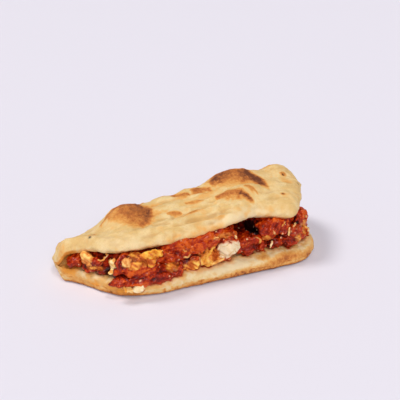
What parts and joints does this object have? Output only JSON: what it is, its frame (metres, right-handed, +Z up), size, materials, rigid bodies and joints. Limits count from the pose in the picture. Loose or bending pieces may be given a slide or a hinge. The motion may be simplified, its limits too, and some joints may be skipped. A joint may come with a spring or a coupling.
{
  "type": "pizza dough sandwich",
  "caption": "Long oval sandwich of baked pizza dough, slit open along one side and one end, filled with chicken in tomato sauce and melted cheese.",
  "frame": {"origin": "on the underside, below the centre of the box round the whole sandwich", "axes": "+X along the loaf from the closed tip to the open end, +Y from the open front to the joined back, +Z up from the face that it lies on"},
  "size_m": [0.262, 0.1262, 0.0763],
  "materials": {
    "dough": "matte baked crust with browned bubbles",
    "filling": "moist, grainy tomato sauce",
    "chicken": "fibrous meat with a glossy coat of sauce",
    "cheese": "smooth, slightly oily melt"
  },
  "bodies": {
    "root": {"dough": "dough", "cheese_left": "cheese", "cheese_shred": "cheese", "cheese_lump": "cheese", "cheese_melt": "cheese", "cheese_drip": "cheese", "cheese_blob": "cheese", "chicken_tip": "chicken", "chicken_left": "chicken", "chicken_front": "chicken", "chicken_low": "chicken", "chicken_strip": "chicken", "chicken_shred": "chicken", "chicken_edge": "chicken", "chicken_torn": "chicken", "chicken_middle": "chicken", "chicken_right": "chicken", "chicken_base": "chicken", "chicken_corner": "chicken", "chicken_end": "chicken", "chicken_rear": "chicken", "filling_bed": "filling"}
  },
  "joints": []
}
